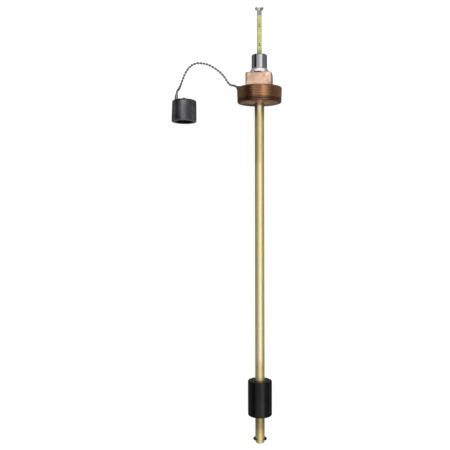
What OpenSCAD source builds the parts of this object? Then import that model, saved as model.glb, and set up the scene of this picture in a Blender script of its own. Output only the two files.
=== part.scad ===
// Tape level indicator: a float on a brass stem moves a steel tape by a magnet, through the stem's wall.
// It lies on a flat surface, as it comes to rest. +Y runs along the stem towards the tape's tab,
// +X to the right and +Z up. The origin is on the stem's axis, at the plug's upper face.
// The instrument is built upright along its own +Z, with its front towards -Y, and then laid down.

/* [Mounting plug] */
// Largest diameter of the taper pipe thread, at the plug's upper face
plug_d = 60.3; // [54:0.1:68]
// Height of the threaded disc
plug_h = 20.4; // [12:0.1:24]
// Distance from one thread crest to the next
thread_pitch = 2.2; // [1.4:0.1:3]
// Depth of the thread from crest to root
thread_depth = 0.9; // [0.3:0.1:1.6]
// Square head, across its flats
head_flats = 34; // [30:0.1:37]
// Height of the square head
head_h = 18; // [17:0.5:24]
// How far the head is turned about the stem, in degrees
head_turn = -8.5; // [-45:0.5:45]
// Radius of the head's upright corners
head_round = 2; // [0.5:0.1:4]

/* [Top fitting] */
// Hex collar, across its flats
hex_flats = 22.2; // [21.4:0.1:26]
// Height of the hex collar
hex_h = 6.8; // [4:0.1:10]
// Diameter of the smooth spigot that the cap goes on
spigot_d = 20.7; // [18.4:0.1:21.2]
// Height of the spigot above the collar
spigot_h = 18.9; // [14:0.1:26]
// Diameter of the threaded shank inside the head
shank_d = 20.6; // [18:0.1:21.2]
// Length of the shank below the collar
shank_l = 12; // [8:0.1:13]
// Height of the packing ring under the gland washer
packing_h = 2.4; // [1:0.1:2.8]
// Thickness of the gland washer
washer_t = 1.2; // [0.8:0.1:1.6]

/* [Tape guide] */
// Diameter of the slotted bush in the spigot's mouth
guide_d = 15.9; // [13.4:0.1:17]
// Height of the bush
guide_h = 3; // [2:0.1:6]
// Free space round the tape in the slot
slot_gap = 0.3; // [0.2:0.05:0.5]

/* [Stem] */
// Outside diameter of the stem tube
stem_d = 12.7; // [12.2:0.1:13.4]
// Wall of the stem tube
stem_wall = 0.9; // [0.7:0.05:1]
// Length of tube below the plug's underside
stem_below = 456; // [420:0.1:900]
// Length of the closing plug inside the tube
end_shank_l = 9; // [6:0.1:10]
// Length of the closing plug's rounded tip below the tube
tip_l = 3.5; // [3:0.1:6]
// Radius of the tip's rounded edge
tip_round = 2.6; // [1:0.1:2.9]

/* [Stop ring] */
// Outside diameter of the spring ring
ring_d = 18.4; // [15:0.1:24]
// Thickness of the spring ring
ring_t = 1.1; // [0.8:0.1:1.6]
// Depth of the groove that holds it
groove_depth = 0.5; // [0.3:0.05:0.6]
// Height of the ring's middle above the end of the tube
ring_rise = 2.2; // [1.2:0.1:4]
// Width of the ring's open side, in degrees
ring_open = 100; // [60:1:120]

/* [Float] */
// Diameter of the float
float_d = 32.6; // [29:0.1:44]
// Length of the float
float_l = 47.6; // [36:0.1:70]
// Radius of the float's rounded edges
float_round = 1.6; // [0.5:0.1:3]
// Free space between the float's bore and the stem
float_gap = 0.5; // [0.35:0.05:1]
// Space between the float and the stop ring, as it lies
float_rise = 31.9; // [10:0.1:60]
// Depth of the ring magnet's middle below the float's top
magnet_depth = 10; // [8:0.1:14]
// Outside diameter of the ring magnet
ring_magnet_d = 24; // [21:0.1:26]
// Height of the ring magnet
ring_magnet_h = 8; // [5:0.1:10]

/* [Tape] */
// Width of the tape
tape_w = 6.35; // [5:0.05:7.6]
// Thickness of the tape
tape_t = 0.25; // [0.15:0.05:0.4]
// How far the tape's edges curl forward from its middle
tape_curl = 0.45; // [0.2:0.05:0.6]
// Length of tape between the spigot and the clip, as it lies
tape_show = 52.6; // [30:0.1:54]
// Width of the metal clip
clip_w = 6.2; // [5.4:0.1:7]
// Length of the clip
clip_l = 5.7; // [4.6:0.1:8]
// Thickness of the sheet that clip and tab are pressed from
sheet_t = 0.6; // [0.4:0.05:0.8]
// Width of the tab across its wings
tab_w = 11; // [9:0.1:14]
// Length of the wings along the tape
tab_l = 4.9; // [4:0.1:8]
// Diameter of the hole in the tab
tab_hole_d = 1.6; // [1:0.1:2]
// Diameter of the two rivets
rivet_d = 1.2; // [0.8:0.1:1.4]

/* [Magnet carrier] */
// Diameter of the carrier on the tape's lower end
carrier_d = 10; // [9.4:0.1:10.2]
// Diameter of its bar magnet
magnet_d = 6.4; // [5:0.1:7]
// Length of its bar magnet
magnet_l = 10; // [6:0.1:14]
// Diameter of the pin through carrier and tape
pin_d = 1.2; // [0.8:0.1:1.4]

/* [Protective cap] */
// Outside diameter of the cap at its open end
cap_open_d = 33.9; // [32:0.1:38]
// Outside diameter of the cap at its closed end
cap_closed_d = 32.9; // [30.4:0.1:33.8]
// Length of the cap
cap_l = 29; // [24:0.1:36]
// Thickness of the closed end
cap_end_t = 5.4; // [5:0.1:9]
// Radius of the shoulder round the closed end
cap_round = 2.2; // [1:0.1:3.4]
// Diameter of the bevelled mouth
cap_mouth_d = 23.4; // [22:0.1:25]
// Free space between the cap's bore and the spigot, when the cap is on
cap_fit = 0.25; // [0.1:0.05:0.4]
// How far the cap is turned on the surface it lies on, in degrees
cap_turn = 1; // [-10:0.5:10]

/* [Bead chain] */
// Diameter of a bead
bead_d = 3.2; // [2.4:0.1:3.6]
// Distance from one bead to the next
bead_pitch = 4.35; // [4.2:0.05:6]
// Diameter of the wire between beads
link_d = 1.2; // [0.6:0.1:1.2]

/* [Chain ends] */
// Diameter of the eyelets at the chain's ends
eyelet_d = 5.8; // [5:0.1:7]
// Thickness of the eyelets
eyelet_t = 0.8; // [0.6:0.1:1.2]
// Distance of the plug's screw from the edge of the plug
anchor_inset = 5.1; // [4.4:0.1:6]
// Distance from the cap's screw to the barrel at the end of its eyelet
cap_neck = 10.2; // [8:0.1:11]
// Diameter of the screws' shanks
screw_d = 2.2; // [1.8:0.1:2.6]
// Length of the screws below the eyelets
screw_l = 4.6; // [3:0.1:4.8]
// Diameter of the screws' round heads
screw_head_d = 4.6; // [4:0.1:5.4]
// Height of the screws' heads
screw_head_h = 1.5; // [1:0.1:2]

/* [Hidden] */
$fn = 96;

// Clearances between pieces that are fitted together
fit = 0.05;
thread_fit = 0.1;
stem_short = 0.3;
hole_spare = 0.3;
past = 1;
far = 200;

// Heights along the stem, measured from the plug's upper face
plug_under = -plug_h;
collar_top = head_h + hex_h;
spigot_top = collar_top + spigot_h;
guide_seat = spigot_top - guide_h;
stem_top = guide_seat - stem_short;
shank_end = head_h - shank_l;
packing_top = shank_end - washer_t;
packing_seat = packing_top - packing_h;
stem_end = plug_under - stem_below;
ring_mid = stem_end + ring_rise;
float_low = ring_mid + ring_t / 2 + float_rise;
float_high = float_low + float_l;
magnet_mid = float_high - magnet_depth;
clip_low = spigot_top + tape_show;
clip_high = clip_low + clip_l;

// Rivets: how far out across the tape and how far up the clip they sit, as shares of the width and length
rivet_across = 0.24 * tape_w;
rivet_height = clip_low + 0.68 * clip_l;
// Size of their flat heads, and the space that the curved sheet needs under them
rivet_head_d = rivet_d + 0.7;
rivet_head_t = 0.3;
rivet_lift = 0.2;

// Tab: step of its outline beside the clip and along its top, corner bevel, and the shoulders of its wings
tab_step = 0.3;
tab_bevel = 0.9;
tab_shoulder = [0.5, 0.9, 1.5];
tab_hole_height = clip_high + 0.55 * tab_l;

// Taper pipe thread: one in sixteen on the diameter
taper = 1 / 32;
plug_bevel = 0.25;
thread_count = floor((plug_h - 2 * plug_bevel) / thread_pitch);
thread_start = plug_under + (plug_h - thread_count * thread_pitch) / 2;
// Where the flat top of each thread ridge begins and ends, as shares of the pitch
crest_share = [0.4, 0.6];
first_crest = thread_start + crest_share[0] * thread_pitch;
// Radius of the bevel that was turned round the head's top, as a share of its flats
head_bevel_r = 0.655 * head_flats;
// Hex collar: radius of its bevel at the top, how fast that bevel widens, and the round face it sits on
hex_bevel_r = spigot_d / 2 + 0.5;
hex_slope = 0.6;
hex_face_d = hex_flats - 0.8;
hex_face_h = 0.7;
spigot_round = 1.7;

// The plug's lowest crest and the float both touch the surface, so the stem lies at a slight slope
plug_touch = [plug_d / 2 + first_crest * taper, first_crest];
float_touch = [float_d / 2, float_low + float_round];
lie = atan((plug_touch.x - float_touch.x) / (plug_touch.y - float_touch.y));
surface = plug_touch.y * sin(lie) - plug_touch.x * cos(lie);

// Curve of the tape, whose middle lies behind the stem's axis by half its curl
curl_r = (pow(tape_w / 2, 2) + pow(tape_curl, 2)) / (2 * tape_curl);
curl_mid = tape_curl / 2;
// How far the tape's end stays below the top of the clip
tape_short = 0.4;

// Magnet carrier: the magnet sits in its lower end and the tape is pinned in its upper end
magnet_inset = 0.8;
carrier_web = 1.4;
tape_grip = 3.2;
pin_rise = 1.5;
pin_short = 0.5;
carrier_slot_gap = 0.15;
tape_end = magnet_mid + magnet_l / 2 + carrier_web;
carrier_low = magnet_mid - magnet_l / 2 - magnet_inset;
carrier_high = tape_end + tape_grip;
pin_height = tape_end + pin_rise;

// How much wider the ring magnet's bore is than the float's
magnet_set_back = 0.6;

// Eyelets: a flat ring and neck, with a barrel crimped round the bead at the chain's end
barrel_wall = 0.5;
barrel_d = bead_d + 2 * barrel_wall;
barrel_l = 4.4;
barrel_back = 0.7;
barrel_from = eyelet_d / 2 + barrel_wall;
neck_w = 2.2;
neck_overlap = 0.6;
screw_dir_plug = 127;
anchor_turn = 168.5;
anchor_r = plug_d / 2 - anchor_inset;
cap_screw_at = [0, -9];
// Width and depth of the slot in the screws' heads
screw_slot = [0.7, 0.6];

// The cap is a slightly tapered tube closed at one end, so it lies on its side at a slight slope
cap_draft = atan((cap_open_d - cap_closed_d) / 2 / cap_l);
cap_at = [-101.3, -14];
cap_bore_d = spigot_d + 2 * cap_fit;
cap_axis = surface + cap_closed_d / 2 / cos(cap_draft);
// Bevels of the cap's rim, mouth and inner corner, and the size of the mark that its moulding's gate leaves
cap_rim = 0.6;
cap_lip = 0.4;
cap_bevel = 1.2;
cap_corner = 0.8;
gate_d = 2;
gate_h = 0.6;

// Route of the chain over the surface, in the order plug to cap: across, along, and how high it
// is lifted from where it would lie
chain_route = [
    [-28.1, 2.4, 18.8], [-30, 4.2, 15.6], [-32, 6.2, 12.4], [-34.4, 7.6, 8.8], [-37.4, 9, 5],
    [-40.2, 11.4, 1.8], [-42.8, 15, 0.2], [-45.4, 19.3, 0], [-48.4, 23.6, 0], [-52, 27.4, 0],
    [-55.6, 30.4, 0], [-59.2, 33, 0], [-62.8, 35.2, 0], [-66.6, 37.4, 0], [-70.6, 39, 0],
    [-75, 40, 0], [-79.6, 40.6, 0], [-84, 40.6, 0], [-88.2, 39.6, 0], [-92, 37.6, 0],
    [-95.2, 34.8, 0], [-98, 31.4, 0], [-100.4, 27.6, 0], [-102.3, 23.6, 0], [-103.8, 19.6, 0],
    [-105.2, 16, 0.1], [-106.3, 12.8, 0.8], [-107.2, 9.8, 2.2], [-107.9, 7.2, 4.2], [-108.4, 5, 6.8],
    [-108.8, 3.2, 9.8], [-109.3, 1.7, 13], [-109.7, 0.2, 16.2], [-110.3, -1.7, 19.2], [-110.9, -4.4, 21.9],
    [-111.35, -7.8, 23.5], [-111.45, -11.1, 23.75]
];
chain_lie = surface + bead_d / 2 + fit;
chain_smooth = 6;
link_overlap = 0.3;
chain_slack = 0.0001;

// Stands for a point between b and c of a smooth curve through a, b, c and d
function between(a, b, c, d, t) =
    0.5 * (2 * b + (c - a) * t + (2 * a - 5 * b + 4 * c - d) * t * t
    + (3 * b - a - 3 * c + d) * t * t * t);
function route_point(i) = chain_route[max(0, min(len(chain_route) - 1, i))];
chain_line = [
    for (i = [0 : len(chain_route) - 2])
        for (k = [0 : chain_smooth - 1])
            between(
                route_point(i - 1), route_point(i), route_point(i + 1), route_point(i + 2),
                k / chain_smooth
            ),
    route_point(len(chain_route) - 1)
];
chain_run = [
    for (
        i = 0, run = 0;
        i < len(chain_line);
        run = run + (i + 1 < len(chain_line) ? norm(chain_line[i + 1] - chain_line[i]) : 0), i = i + 1
    ) run
];
chain_length = chain_run[len(chain_run) - 1];
bead_count = round(chain_length / bead_pitch) + 1;
bead_step = chain_length / (bead_count - 1);
function chain_at(run) =
    let (
        after = [for (i = [1 : len(chain_run) - 1]) if (chain_run[i] >= run - chain_slack) i],
        i = after[0],
        share = (run - chain_run[i - 1]) / (chain_run[i] - chain_run[i - 1]),
        p = chain_line[i - 1] + (chain_line[i] - chain_line[i - 1]) * share
    ) [p.x, p.y, p.z + chain_lie];

// Lays down what was built upright along the stem
module laid() {
    rotate([lie - 90, 0, 0]) children();
}

// Lays down what was built upright on the cap's closed end, with the cap below z = 0
module cap_laid() {
    translate([cap_at.x, cap_at.y, cap_axis])
        rotate([0, 0, -cap_turn])
            rotate([-90 - cap_draft, 0, 0]) children();
}

// A round bar from height low to height high
module bar(d, low, high) {
    translate([0, 0, low]) cylinder(h = high - low, d = d);
}

module tube(d, bore, low, high) {
    difference() {
        bar(d, low, high);
        bar(bore, low - past, high + past);
    }
}

// A straight rod between two points
module rod(from, to, d) {
    along = to - from;
    translate(from)
        rotate([0, acos(along.z / norm(along)), atan2(along.y, along.x)])
            cylinder(h = norm(along), d = d);
}

// Half outline of a round bar from height 0 to height h, with rounded edges at the bottom and the top
module half_outline(r, h, low_round, high_round) {
    difference() {
        square([r, h]);
        if (low_round > 0) translate([r - low_round, 0]) square([low_round + past, low_round]);
        if (high_round > 0)
            translate([r - high_round, h - high_round]) square(high_round + past);
    }
    if (low_round > 0) translate([r - low_round, low_round]) corner(low_round, -1);
    if (high_round > 0) translate([r - high_round, h - high_round]) corner(high_round, 1);
}

// A quarter disc that points right and, by its side, up or down
module corner(r, side) {
    intersection() {
        circle(r);
        translate([0, side > 0 ? 0 : -r]) square(r);
    }
}

// A square with rounded corners
module round_square(w, r) {
    square([w, w - 2 * r], center = true);
    square([w - 2 * r, w], center = true);
    for (x = [-1, 1], y = [-1, 1]) translate([x * (w / 2 - r), y * (w / 2 - r)]) circle(r);
}

// The disc's half outline, with a ridge for each turn of the thread
module thread_outline() {
    crest = plug_d / 2;
    polygon(concat(
        [[0, plug_under], [crest + plug_under * taper - plug_bevel - thread_depth, plug_under]],
        [[crest + thread_start * taper - thread_depth, thread_start]],
        [
            for (i = [0 : thread_count - 1])
                let (
                    root = thread_start + (i + 1) * thread_pitch,
                    up = [for (share = crest_share) thread_start + (i + share) * thread_pitch]
                )
                    each [
                        [crest + up[0] * taper, up[0]],
                        [crest + up[1] * taper, up[1]],
                        [crest + root * taper - thread_depth, root]
                    ]
        ],
        [[crest - plug_bevel - thread_depth, 0], [0, 0]]
    ));
}

module square_head() {
    intersection() {
        rotate([0, 0, head_turn]) linear_extrude(head_h) round_square(head_flats, head_round);
        // The bevel that was turned round the head's top
        cylinder(h = head_h, r1 = head_bevel_r + head_h, r2 = head_bevel_r);
    }
}

module mounting_plug() {
    color([0.58, 0.36, 0.22]) laid() difference() {
        union() {
            rotate_extrude() thread_outline();
            square_head();
        }
        bar(stem_d + 2 * thread_fit, plug_under - past, head_h);
        bar(shank_d + 2 * thread_fit, packing_seat, head_h + past);
        at_anchor() bar(screw_d + 2 * fit, -screw_l - hole_spare, past);
    }
}

module stem_packing() {
    color([0.85, 0.85, 0.8]) laid()
        tube(shank_d, stem_d + 2 * fit, packing_seat, packing_top);
}

module gland_washer() {
    color([0.8, 0.66, 0.35]) laid()
        tube(shank_d, stem_d + 2 * fit, packing_top, shank_end);
}

module hex_collar() {
    bar(hex_face_d, head_h, head_h + hex_face_h + fit);
    translate([0, 0, head_h + hex_face_h]) intersection() {
        cylinder(h = hex_h - hex_face_h, d = hex_flats / cos(30), $fn = 6);
        // The bevel that was turned round the hex's top
        cylinder(
            h = hex_h - hex_face_h,
            r1 = hex_bevel_r + hex_slope * (hex_h - hex_face_h), r2 = hex_bevel_r
        );
    }
}

module top_fitting() {
    color([0.75, 0.75, 0.76]) laid() difference() {
        union() {
            bar(shank_d, shank_end, head_h + past);
            hex_collar();
            translate([0, 0, collar_top - past]) rotate_extrude()
                half_outline(spigot_d / 2, spigot_h + past, 0, spigot_round);
        }
        bar(stem_d + 2 * fit, shank_end - past, spigot_top);
        bar(guide_d + 2 * fit, guide_seat, spigot_top + past);
    }
}

module stem_tube() {
    color([0.88, 0.76, 0.45]) laid() difference() {
        tube(stem_d, stem_d - 2 * stem_wall, stem_end, stem_top);
        tube(
            stem_d + past, stem_d - 2 * groove_depth,
            ring_mid - ring_t / 2 - fit, ring_mid + ring_t / 2 + fit
        );
    }
}

module stem_end_plug() {
    color([0.86, 0.74, 0.42]) laid() {
        bar(stem_d - 2 * stem_wall - 2 * fit, stem_end, stem_end + end_shank_l);
        translate([0, 0, stem_end - tip_l]) rotate_extrude()
            half_outline(stem_d / 2 - fit, tip_l, tip_round, 0);
    }
}

module stop_ring() {
    color([0.2, 0.19, 0.18]) laid() translate([0, 0, ring_mid - ring_t / 2])
        linear_extrude(ring_t) difference() {
            circle(d = ring_d);
            circle(d = stem_d - 2 * groove_depth + 2 * fit);
            polygon([
                [0, 0],
                [-far * sin(ring_open / 2), -far * cos(ring_open / 2)],
                [far * sin(ring_open / 2), -far * cos(ring_open / 2)]
            ]);
        }
}

module tape_guide() {
    color([0.12, 0.12, 0.13]) laid() difference() {
        bar(guide_d, guide_seat, spigot_top);
        translate([0, 0, guide_seat - past]) tape_slot(slot_gap, guide_h + 2 * past);
    }
}

// The space of height h that the curled tape takes, with a gap all round
module tape_slot(gap, h) {
    w = tape_w + 2 * gap;
    depth = tape_curl + tape_t + 2 * gap;
    translate([-w / 2, -depth / 2, 0]) cube([w, depth, h]);
}

// Part of a sheet that follows the tape's curve, from depth near to depth far_side behind the tape's middle
module curved_sheet(near, far_side, low, high) {
    translate([0, curl_mid - curl_r, 0]) difference() {
        bar(2 * (curl_r + far_side), low, high);
        bar(2 * (curl_r + near), low - past, high + past);
    }
}

// Keeps what lies within w across, on the tape's side of its curve
module trim_across(w, low, high) {
    intersection() {
        translate([-w / 2, -curl_r / 3, low]) cube([w, curl_r, high - low]);
        children();
    }
}

// A bar through tape and carrier from front to back
module across_bar(x, height, d) {
    translate([x, 0, height]) rotate([90, 0, 0]) cylinder(h = stem_d, d = d, center = true);
}

module rivet_pair(d) {
    for (x = [-1, 1]) across_bar(x * rivet_across, rivet_height, d);
}

module tape_blade() {
    color([0.78, 0.8, 0.47]) laid() difference() {
        trim_across(tape_w, tape_end, clip_high - tape_short)
            curved_sheet(-tape_t / 2, tape_t / 2, tape_end - past, clip_high);
        rivet_pair(rivet_d + 2 * fit);
        across_bar(0, pin_height, pin_d + 2 * fit);
    }
}

module tape_clip() {
    color([0.55, 0.55, 0.55]) laid() difference() {
        trim_across(clip_w, clip_low, clip_high)
            curved_sheet(-tape_t / 2 - fit - sheet_t, -tape_t / 2 - fit, clip_low - past, clip_high + past);
        rivet_pair(rivet_d + 2 * fit);
    }
}

// The tab's outline seen from the front: a tang behind the tape, and two wings above it
module tab_outline() {
    neck = clip_w / 2 - tab_step;
    wing = tab_w / 2;
    high = clip_high + tab_l;
    right = [
        [neck, clip_low], [neck, clip_high], [wing - tab_shoulder[0], clip_high + tab_shoulder[1]],
        [wing, clip_high + tab_shoulder[2]], [wing, high - tab_bevel], [wing - tab_bevel, high],
        [neck, high - tab_step]
    ];
    left = [for (i = [len(right) - 1 : -1 : 0]) [-right[i].x, right[i].y]];
    polygon(concat(right, left));
}

module pull_tab() {
    color([0.6, 0.6, 0.6]) laid() difference() {
        intersection() {
            rotate([90, 0, 0]) linear_extrude(curl_r, center = true) tab_outline();
            curved_sheet(
                tape_t / 2 + fit, tape_t / 2 + fit + sheet_t,
                clip_low - past, clip_high + tab_l + past
            );
        }
        rivet_pair(rivet_d + 2 * fit);
        across_bar(0, tab_hole_height, tab_hole_d);
    }
}

// Rivets reach through clip, tape and tab, with a flat head on each side
module tape_rivets() {
    curl_here = curl_mid - (curl_r - sqrt(pow(curl_r, 2) - pow(rivet_across, 2)));
    reach = tape_t / 2 + fit + sheet_t + rivet_lift;
    color([0.68, 0.68, 0.68]) laid()
        for (x = [-1, 1]) translate([x * rivet_across, curl_here, rivet_height]) rotate([90, 0, 0]) {
            cylinder(h = 2 * reach, d = rivet_d, center = true);
            for (side = [-1, 1]) translate([0, 0, side * (reach + rivet_head_t / 2)])
                cylinder(h = rivet_head_t, d = rivet_head_d, center = true);
        }
}

module magnet_holder() {
    color([0.3, 0.3, 0.32]) laid() difference() {
        bar(carrier_d, carrier_low, carrier_high);
        bar(magnet_d + 2 * fit, carrier_low - past, magnet_mid + magnet_l / 2 + fit);
        translate([0, 0, tape_end - fit])
            tape_slot(carrier_slot_gap, carrier_high - tape_end + past);
        across_bar(0, pin_height, pin_d + 2 * fit);
    }
}

module tape_magnet() {
    color([0.4, 0.4, 0.42]) laid()
        bar(magnet_d, magnet_mid - magnet_l / 2, magnet_mid + magnet_l / 2);
}

module holder_pin() {
    color([0.72, 0.72, 0.72]) laid() translate([0, 0, pin_height]) rotate([90, 0, 0])
        cylinder(h = carrier_d - 2 * pin_short, d = pin_d, center = true);
}

module float_body() {
    color([0.1, 0.1, 0.1]) laid() difference() {
        translate([0, 0, float_low]) rotate_extrude()
            half_outline(float_d / 2, float_l, float_round, float_round);
        bar(stem_d + 2 * float_gap, float_low - past, float_high + past);
        bar(
            ring_magnet_d + 2 * fit,
            magnet_mid - ring_magnet_h / 2 - fit, magnet_mid + ring_magnet_h / 2 + fit
        );
    }
}

module float_magnet() {
    color([0.28, 0.27, 0.27]) laid()
        tube(
            ring_magnet_d, stem_d + 2 * float_gap + magnet_set_back,
            magnet_mid - ring_magnet_h / 2, magnet_mid + ring_magnet_h / 2
        );
}

// The cap's half outline, from its open end at height -cap_l to its closed end at height 0
module cap_outline() {
    low = -cap_l;
    open_r = cap_open_d / 2;
    closed_r = cap_closed_d / 2;
    shoulder = closed_r - cap_round;
    difference() {
        union() {
            polygon([
                [0, low], [open_r - cap_rim, low], [open_r, low + cap_rim],
                [closed_r, -cap_round], [shoulder, -cap_round], [shoulder, 0], [0, 0]
            ]);
            translate([shoulder, -cap_round]) corner(cap_round, 1);
        }
        polygon([
            [0, low - past], [cap_mouth_d / 2, low - past], [cap_mouth_d / 2, low + cap_lip],
            [cap_bore_d / 2, low + cap_lip + cap_bevel], [cap_bore_d / 2, -cap_end_t - cap_corner],
            [cap_bore_d / 2 - cap_corner, -cap_end_t], [0, -cap_end_t]
        ]);
    }
}

module protective_cap() {
    color([0.28, 0.28, 0.29]) cap_laid() difference() {
        union() {
            rotate_extrude() cap_outline();
            // The mark that the moulding's gate leaves
            bar(gate_d, -past, gate_h);
        }
        at_cap_screw() bar(screw_d + 2 * fit, -screw_l - hole_spare, past);
    }
}

module at_anchor() {
    translate([anchor_r * cos(anchor_turn), anchor_r * sin(anchor_turn), 0]) children();
}

module at_cap_screw() {
    translate([cap_screw_at.x, cap_screw_at.y, 0]) children();
}

// An eyelet on the plane z = 0 round the origin, with its barrel in the direction turn
module eyelet(turn) {
    rotate([0, 0, turn]) difference() {
        union() {
            bar(eyelet_d, 0, eyelet_t);
            translate([0, -neck_w / 2, 0]) cube([barrel_from + neck_overlap, neck_w, eyelet_t]);
            translate([barrel_from, 0, barrel_d / 2]) rotate([0, 90, 0]) cylinder(h = barrel_l, d = barrel_d);
        }
        bar(screw_d + 2 * fit, -past, eyelet_t + past);
        translate([barrel_from + barrel_back, 0, barrel_d / 2]) rotate([0, 90, 0])
            cylinder(h = barrel_l, d = bead_d + 2 * fit);
    }
}

// An eyelet on the plane z = 0 with a long neck to the left, and its barrel bent up at the end of it
module bent_eyelet(reach) {
    difference() {
        union() {
            bar(eyelet_d, 0, eyelet_t);
            translate([-reach, -neck_w / 2, 0]) cube([reach, neck_w, eyelet_t]);
            translate([-reach, 0, 0]) bar(barrel_d, 0, eyelet_t + barrel_l);
        }
        bar(screw_d + 2 * fit, -past, eyelet_t + past);
        translate([-reach, 0, 0]) bar(bead_d + 2 * fit, eyelet_t, eyelet_t + barrel_l + past);
    }
}

// A round-headed screw that holds an eyelet of thickness eyelet_t down on the plane z = 0
module screw() {
    dome = (pow(screw_head_d / 2, 2) + pow(screw_head_h, 2)) / (2 * screw_head_h);
    difference() {
        union() {
            bar(screw_d, -screw_l, eyelet_t + past / 2);
            intersection() {
                bar(screw_head_d, eyelet_t, eyelet_t + screw_head_h);
                translate([0, 0, eyelet_t + screw_head_h - dome]) sphere(dome);
            }
        }
        translate([0, 0, eyelet_t + screw_head_h])
            cube([screw_head_d + past, screw_slot.x, 2 * screw_slot.y], center = true);
    }
}

module plug_eyelet() {
    color([0.6, 0.6, 0.6]) laid() at_anchor() eyelet(screw_dir_plug);
}

module plug_screw() {
    color([0.65, 0.65, 0.62]) laid() at_anchor() screw();
}

module cap_eyelet() {
    color([0.6, 0.6, 0.6]) cap_laid() at_cap_screw() bent_eyelet(cap_neck);
}

module cap_screw() {
    color([0.65, 0.65, 0.62]) cap_laid() at_cap_screw() screw();
}

module bead_chain() {
    reach = bead_d / 2 - link_overlap;
    color([0.55, 0.55, 0.55]) {
        // Each bead is turned with the chain, so its poles and seam stay clear of the wire
        for (i = [0 : bead_count - 1])
            let (
                a = chain_at(max(i - 1, 0) * bead_step),
                b = chain_at(min(i + 1, bead_count - 1) * bead_step),
                unit = (b - a) / norm(b - a)
            )
                translate(chain_at(i * bead_step))
                    rotate([asin(unit.z), 0, atan2(unit.y, unit.x) - 90])
                        sphere(d = bead_d);
        for (i = [0 : bead_count - 2])
            let (
                a = chain_at(i * bead_step),
                b = chain_at((i + 1) * bead_step),
                unit = (b - a) / norm(b - a)
            )
                rod(a + unit * reach, b - unit * reach, link_d);
    }
}

mounting_plug();
top_fitting();
stem_packing();
gland_washer();
stem_tube();
stem_end_plug();
stop_ring();
tape_guide();
bead_chain();
plug_eyelet();
plug_screw();
cap_eyelet();
cap_screw();
protective_cap();
float_body();
float_magnet();
tape_blade();
tape_clip();
pull_tab();
tape_rivets();
magnet_holder();
tape_magnet();
holder_pin();
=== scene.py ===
import math

import bmesh
import bpy
from bpy.props import FloatProperty, FloatVectorProperty, IntProperty, PointerProperty
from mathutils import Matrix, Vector


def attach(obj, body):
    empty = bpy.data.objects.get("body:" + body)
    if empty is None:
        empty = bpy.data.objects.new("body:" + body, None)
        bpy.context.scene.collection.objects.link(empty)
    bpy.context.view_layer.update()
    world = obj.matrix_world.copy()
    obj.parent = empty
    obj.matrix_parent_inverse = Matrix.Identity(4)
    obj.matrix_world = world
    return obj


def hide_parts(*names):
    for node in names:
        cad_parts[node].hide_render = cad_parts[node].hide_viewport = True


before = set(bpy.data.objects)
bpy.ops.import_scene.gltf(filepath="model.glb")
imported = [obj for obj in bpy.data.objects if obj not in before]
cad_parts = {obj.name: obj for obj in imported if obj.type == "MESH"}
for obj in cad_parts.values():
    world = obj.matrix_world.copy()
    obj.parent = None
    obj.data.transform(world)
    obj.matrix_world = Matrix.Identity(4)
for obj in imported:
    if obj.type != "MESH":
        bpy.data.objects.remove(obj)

bl_info = {
    "name": "Tape level indicator",
    "version": (1, 0, 0),
    "blender": (4, 5, 0),
    "location": "3D View > Sidebar > Indicator",
    "description": "Bead chain, tape scale, finishes and studio of a tape level indicator",
    "category": "Object",
}

# The stem lies at this slope, because the plug and the float both touch the surface, which is this low
LIE = math.radians(1.802872)
SURFACE = -0.0301394
# Heights along the stem, from the plug's upper face
DISC_FOOT = -0.0204
HEAD_TOP = 0.018
HEX_TOP = 0.0248
# Radius of the thread's crests at the disc's upper face, and how much it grows with the height
THREAD_RADIUS = 0.03015
THREAD_TAPER = 1 / 32
# The middle of the cap's closed end, and how far the cap reaches from it to its rim
CAP_END = (-0.1015, -0.014, -0.0135)
CAP_DEPTH = 0.029
# The chain's beads lie on the surface, and this is the height of their middles
CHAIN_LIE = SURFACE + 0.00165
# Steps of the chain's line between two points of its route
CHAIN_STEPS = 6
# Route of the chain from plug to cap in millimetres: across, along, and how high it is lifted
CHAIN_ROUTE = [
    (-28.1, 2.4, 18.8), (-30, 4.2, 15.6), (-32, 6.2, 12.4), (-34.4, 7.6, 8.8), (-37.4, 9, 5),
    (-40.2, 11.4, 1.8), (-42.8, 15, 0.2), (-45.4, 19.3, 0), (-48.4, 23.6, 0), (-52, 27.4, 0),
    (-55.6, 30.4, 0), (-59.2, 33, 0), (-62.8, 35.2, 0), (-66.6, 37.4, 0), (-70.6, 39, 0),
    (-75, 40, 0), (-79.6, 40.6, 0), (-84, 40.6, 0), (-88.2, 39.6, 0), (-92, 37.6, 0),
    (-95.2, 34.8, 0), (-98, 31.4, 0), (-100.4, 27.6, 0), (-102.3, 23.6, 0), (-103.8, 19.6, 0),
    (-105.2, 16, 0.1), (-106.3, 12.8, 0.8), (-107.2, 9.8, 2.2), (-107.9, 7.2, 4.2), (-108.4, 5, 6.8),
    (-108.8, 3.2, 9.8), (-109.3, 1.7, 13), (-109.7, 0.2, 16.2), (-110.3, -1.7, 19.2), (-110.9, -4.4, 21.9),
    (-111.35, -7.8, 23.5), (-111.45, -11.1, 23.75),
]
# The tape is marked in eighths of an inch, with three of them above its first numbered line, down to here
INCH = 0.0254
MARKS_ABOVE = 3
LAST_MARK = -0.392
# Thickness of the ink, and width of a printed line
INK = 0.00002
PRINTED_LINE = 0.0003
# Text size for a numeral one high, how much bolder its strokes are, and how far it stands over its line
NUMERAL_SIZE = 1.42
NUMERAL_BOLD = 0.00013
NUMERAL_LIFT = 0.0006
# The studio: half the floor's side, the tent and the table card round the object, and the lamp above it
FLOOR_REACH = 6
TENT_RADIUS = 1.6
CARD_RADIUS = 1.55
LAMP_SIZE = (1.0, 1.2)
LAMP_AT = (-0.1, -0.1, 1.3)
# The floor lies a hair under the surface, and the card a hair over it
FLOOR_UNDER = 0.00002
CARD_OVER = 0.00003
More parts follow.
